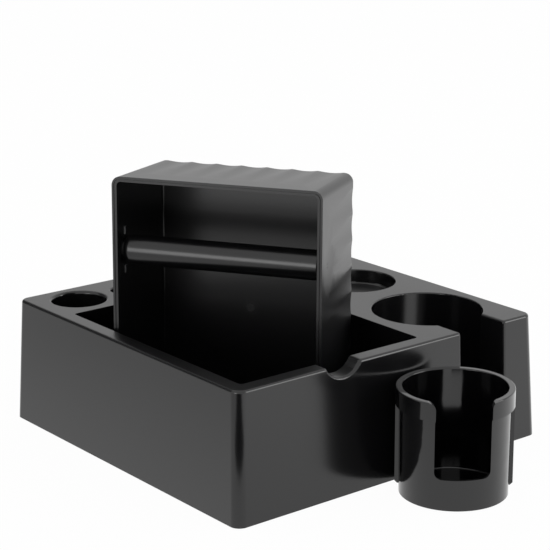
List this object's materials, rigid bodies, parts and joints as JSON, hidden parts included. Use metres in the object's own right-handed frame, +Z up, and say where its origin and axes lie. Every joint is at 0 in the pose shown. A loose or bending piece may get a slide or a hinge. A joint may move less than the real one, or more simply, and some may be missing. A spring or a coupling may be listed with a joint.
{
  "type": "condiment caddy with lift-out tray",
  "caption": "Square table caddy with round wells and a pocket, in which an open tray with a roll bar stands on end; a slotted cup insert stands beside it.",
  "frame": {"origin": "centre of the caddy's square footprint, on the flat face it stands on", "axes": "+Z up, -Y towards the side with the finger notch and the handle slot, +X towards the mug well and the can well"},
  "size_m": [0.3, 0.3855, 0.2189],
  "materials": {
    "body_plastic": "satin moulded plastic with a fine texture on the deck",
    "tray_plastic": "glossy outside, satin inside",
    "gloss_plastic": "high gloss",
    "plate_plastic": "plain moulded plastic",
    "screw_steel": "zinc plated",
    "spring_steel": "drawn wire"
  },
  "bodies": {
    "caddy": {"caddy_shell": "body_plastic", "base_plate": "plate_plastic", "base_screws": "screw_steel"},
    "tray": {"tray": "tray_plastic"},
    "roll_bar": {"roll_bar": "gloss_plastic", "bar_cap": "gloss_plastic", "bar_spring": "spring_steel"},
    "bar_plunger": {"bar_plunger": "gloss_plastic"},
    "cup_insert": {"cup_insert": "gloss_plastic"}
  },
  "joints": [
    {"name": "tray_lift", "type": "slide", "parent": "caddy", "child": "tray", "axis": [0, 0, 1], "range_m": [0, 0.12]},
    {"name": "bar_spin", "type": "hinge", "parent": "tray", "child": "roll_bar", "pos_m": [-0.07021, -0.03029, 0.15943], "axis": [0.5403, -0.8415, 0], "continuous": true},
    {"name": "plunger_press", "type": "slide", "parent": "roll_bar", "child": "bar_plunger", "axis": [-0.5403, 0.8415, 0], "range_m": [0, 0.006], "stiffness_N_per_m": 300, "springref_m": -0.004, "deforming": ["bar_spring"]},
    {"name": "cup_lift", "type": "slide", "parent": "caddy", "child": "cup_insert", "axis": [0, 0, 1], "range_m": [0, 0.1]}
  ]
}
